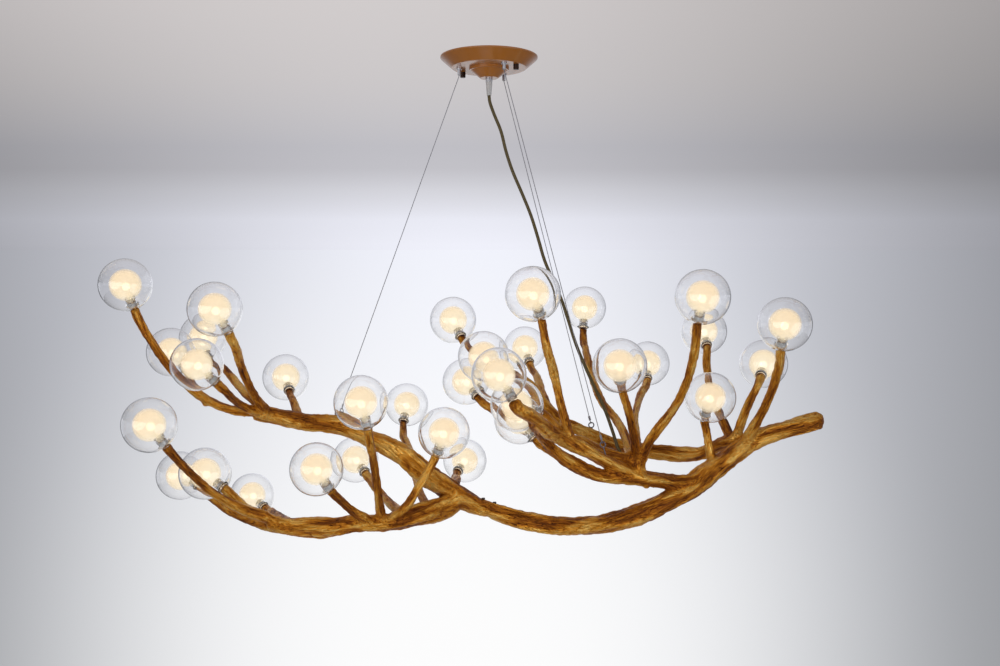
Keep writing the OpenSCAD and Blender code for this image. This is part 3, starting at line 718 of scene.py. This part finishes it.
def bubble_profile():
    """The bubble's profile, from its mouth round to its mouth, and each point's part."""
    half = math.pi / 2
    mouth = -math.acos(NECK_R / GLOBE_R)
    inside = -math.acos(NECK_R / (GLOBE_R - GLOBE_WALL))
    root = -math.acos(NECK_R / BALL_R)
    bore = -math.acos(NECK_BORE_R / (BALL_R - BALL_WALL))
    outer = arc(GLOBE_R, mouth, half, OUTER_STEPS)
    inner = arc(GLOBE_R - GLOBE_WALL, half, inside, OUTER_STEPS)
    neck_low, neck_top = inner[-1][1], BALL_R * math.sin(root)
    neck = []
    for k in np.arange(RIB_STEP, NECK_RIBS, RIB_STEP):
        rib = RIB_HEIGHT * math.sin(math.pi * k) ** 2
        neck.append((NECK_R + rib, neck_low + (neck_top - neck_low) * k / NECK_RIBS))
    ball = arc(BALL_R, root, half, BALL_STEPS)
    hollow = arc(BALL_R - BALL_WALL, half, bore, HOLLOW_STEPS)
    bore_top, lip = hollow[-1][1], outer[0][1]
    tunnel = [(NECK_BORE_R, bore_top + (lip - bore_top) * k / TUNNEL_STEPS)
              for k in range(1, TUNNEL_STEPS + 1)]
    parts = (outer, inner, neck, ball, hollow, tunnel)
    points = [point for part in parts for point in part]
    return points, [index for index, part in enumerate(parts) for _ in part]


def globe_middle(name, axis):
    """The middle of a CAD globe: halfway across its box, and a radius below its top."""
    data = NODES[name].data
    places = np.zeros(3 * len(data.vertices))
    data.vertices.foreach_get("co", places)
    places = places.reshape(-1, 3)
    m = frame_along((0, 0, 0), axis)
    local = places @ np.array(m.to_3x3())
    low, high = local.min(axis=0), local.max(axis=0)
    middle = (low + high) / 2
    middle[2] = high[2] - GLOBE_R
    return m @ Vector(middle)


PULL = {joint["child"]: Vector(joint["axis"]).normalized() for joint in frame["joints"]
        if joint["child"].startswith("bubble_")}
SIDES = 56
LAMP_UP = -0.0035  # the lamp's bright middle, from the globe's middle along the twig
LAMP_POWER, LAMP_SIZE, LAMP_COLOUR = 0.005, 0.007, (1.0, 0.88, 0.66)
GLOW_END, GLOW_FALL = 0.036, 0.009  # the glow is palest GLOW_FALL inside its end
WOBBLE = 0.2 * MM  # how far the clear glass's inside waves
WAVES, WAVE_TURNS = 5, 3.2
WAVE_STARTS = 6.28  # about a whole turn
WAVY_BELOW, WAVY_REACH = 0.2, 1.2  # the waves grow from this height down, as shares of the radius
WAVY_TOP, WAVY_MORE = 0.35, 1.6  # their share above it, and how much more they have at the mouth
profile, part_of = bubble_profile()
vertices, faces = lathe(profile, SIDES)
vertices = np.array(vertices)
part = np.concatenate([np.full(1 if r < ON_AXIS else SIDES, part_of[index])
                       for index, (r, z) in enumerate(profile)])
face_part = [min(part[i] for i in face) for face in faces]
slots = [{BALL: 1, HOLLOW: 2}.get(k, 0) for k in face_part]
# The painted glow's mask: full near the lamp, none GLOW_END from it.
to_lamp = np.linalg.norm(vertices - np.array([0, 0, LAMP_UP]), axis=1)
glow = np.clip((GLOW_END - to_lamp) / GLOW_FALL, 0, 1)
random = np.random.default_rng(GLASS_SEED)

for number in BUBBLES:
    axis = PULL[f"bubble_{number}"]
    middle = globe_middle(f"globe_{number}", axis)
    place = frame_along(middle, axis)
    shape = vertices.copy()
    ways = shape / np.linalg.norm(shape, axis=1)[:, None]
    waves = np.zeros(len(shape))
    for _ in range(WAVES):
        waves += np.sin(ways @ random.normal(size=3) * WAVE_TURNS + random.uniform(0, WAVE_STARTS))
    low = np.clip((WAVY_BELOW - ways[:, 2]) / WAVY_REACH, 0, 1)
    inset = WOBBLE * (waves / WAVES - 1) * (WAVY_TOP + WAVY_MORE * low)
    inset = np.where(part == INNER, inset, 0)
    shape += ways * inset[:, None]
    name = f"bubble_glass_{number}"
    mesh = mesh_of(name, [place @ Vector(v) for v in shape], faces)
    obj = new_object(name, mesh, [GLASS, FROSTED, FROSTED_INSIDE])
    mesh.polygons.foreach_set("material_index", slots)
    set_attribute(mesh, "glow", glow)
    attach(obj, f"bubble_{number}")
    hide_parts(f"globe_{number}")
    light = bpy.data.lights.new(f"lamp_{number}", "POINT")
    light.energy, light.shadow_soft_size, light.color = LAMP_POWER, LAMP_SIZE, LAMP_COLOUR
    lamp = bpy.data.objects.new(f"lamp_{number}", light)
    bpy.context.collection.objects.link(lamp)
    lamp.location = middle + LAMP_UP * axis


# ---------------------------------------------------------------- room
# The room's colour paints its light: brightest in a strip that starts here and widens along Y, and
# painted darker away from it. It is fixed in the room.
BRIGHT_X, BRIGHT_Y = -0.2, -2.35
BRIGHT_HALF, BRIGHT_SPREAD = 0.75, 0.27  # half the strip's width there, and how fast it widens


def backdrop_material(name, stops, axis, low, high, plain=0.95, light_pool=None):
    """A pale surface of the room, which shows only from its front.

    Its colour runs along one axis from low to high, which paints the room's fall of light, darkens
    away from the bright strip as painted shade, and may brighten fully round one place, a painted
    pool of light given as (place, radius). The plain share of it shows that colour as it is to the
    camera and in gloss and glass. The rest takes light and shadow."""
    s = Shader(name)
    place = s.node("TexCoord").outputs["Object"]
    split = s.node("SeparateXYZ", {0: place})
    shown = s.ramp(s.remap(split.outputs[axis], low, high), stops)
    # Painted shade: the colour darkens away from the bright strip.
    across = s.maths("SUBTRACT", split.outputs["X"], BRIGHT_X)
    along = s.maths("MAXIMUM", s.maths("SUBTRACT", split.outputs["Y"], BRIGHT_Y), 0.0)
    half = s.maths("ADD", s.maths("MULTIPLY", along, BRIGHT_SPREAD), BRIGHT_HALF)
    aside = s.maths("POWER", s.maths("ABSOLUTE", s.maths("DIVIDE", across, half), 0), 2.0)
    dim = s.maths("DIVIDE", 1.0, s.maths("ADD", aside, 1.0))
    shown = s.mix(1.0, shown, dim, "MULTIPLY")
    # A painted pool of light: the colour brightens fully round one place.
    if light_pool:
        away = s.node("VectorMath", {0: place, 1: light_pool[0]}, operation="DISTANCE")
        near = s.remap(away.outputs["Value"], 0.0, light_pool[1], 1.0, 0.0, curve="SMOOTHSTEP")
        shown = s.mix(near, shown, (1, 1, 1, 1))
    path = s.node("LightPath")
    surface = s.node("BsdfDiffuse", {"Color": shown})
    glow = s.node("Emission", {"Color": shown, "Strength": 1.0})
    seen = s.maths("MAXIMUM", path.outputs["Is Glossy Ray"], path.outputs["Is Transmission Ray"])
    seen = s.maths("MAXIMUM", path.outputs["Is Camera Ray"], seen)
    front = s.shader_mix(s.maths("MULTIPLY", seen, plain), surface, glow)
    back = s.node("NewGeometry").outputs["Backfacing"]
    s.surface(s.shader_mix(back, front, s.transparent(1, 1, 1)))
    return s.material


def room_plane(name, corners, material):
    obj = new_object(name, mesh_of(name, corners, [range(4)], smooth=False), [material])


CEILING_Z, FLOOR_Z, FRONT_Y, WALL_Y, REACH = 0.0006, -2.9, -4.0, 5.46, 6.0
CEILING_FROM_Y = -0.4  # where the ceiling's colours start
# A painted pool of light, low on the wall.
WALL_LIGHT_POOL = ((-0.3, WALL_Y, -2.8), 3.6)
room_plane(
    "ceiling",
    [(-REACH, FRONT_Y, CEILING_Z), (-REACH, WALL_Y, CEILING_Z),
     (REACH, WALL_Y, CEILING_Z), (REACH, FRONT_Y, CEILING_Z)],
    # These stops paint the ceiling's fall of light: greyest about a metre behind the canopy,
    # brightest towards the wall.
    backdrop_material("ceiling_white", [
        (0.0, srgb(212, 207, 207)), (0.10, srgb(207, 203, 204)), (0.26, srgb(195, 194, 200)),
        (0.34, srgb(198, 197, 203)), (0.44, srgb(216, 216, 223)), (0.64, srgb(238, 239, 249)),
        (0.92, srgb(244, 245, 255))], "Y", CEILING_FROM_Y, WALL_Y))
room_plane(
    "wall",
    [(-REACH, WALL_Y, FLOOR_Z), (REACH, WALL_Y, FLOOR_Z),
     (REACH, WALL_Y, CEILING_Z), (-REACH, WALL_Y, CEILING_Z)],
    backdrop_material("wall_white", [
        (0.0, srgb(246, 248, 253)), (1.0, srgb(242, 244, 254))],
        "Z", FLOOR_Z, CEILING_Z, 0.97, WALL_LIGHT_POOL))
room_plane(
    "floor",
    [(-REACH, FRONT_Y, FLOOR_Z), (REACH, FRONT_Y, FLOOR_Z),
     (REACH, WALL_Y, FLOOR_Z), (-REACH, WALL_Y, FLOOR_Z)],
    backdrop_material("floor_pale", [
        (0.0, srgb(236, 236, 242)), (1.0, srgb(248, 248, 252))],
        "Y", FRONT_Y, WALL_Y, 0.6))

world = bpy.data.worlds.new("studio")
bpy.context.scene.world = world
world.use_nodes = True
background = world.node_tree.nodes["Background"]
background.inputs["Color"].default_value = (*srgb(226, 228, 238), 1)
background.inputs["Strength"].default_value = 0.75


def area_light(name, place, size, power, colour):
    """A round soft light that faces the middle of the object."""
    data = bpy.data.lights.new(name, "AREA")
    data.shape, data.size, data.energy, data.color = "DISK", size, power, colour
    obj = bpy.data.objects.new(name, data)
    bpy.context.collection.objects.link(obj)
    obj.location = place
    obj.rotation_euler = (LIT_PLACE - Vector(place)).to_track_quat("-Z", "Y").to_euler()


LIT_PLACE = Vector((0, 0, -0.7))
area_light("key", (-1.6, -2.4, -0.12), 2.8, 42, (1.0, 0.97, 0.93))
area_light("fill", (2.0, -1.8, -1.4), 2.4, 18, (0.93, 0.95, 1.0))
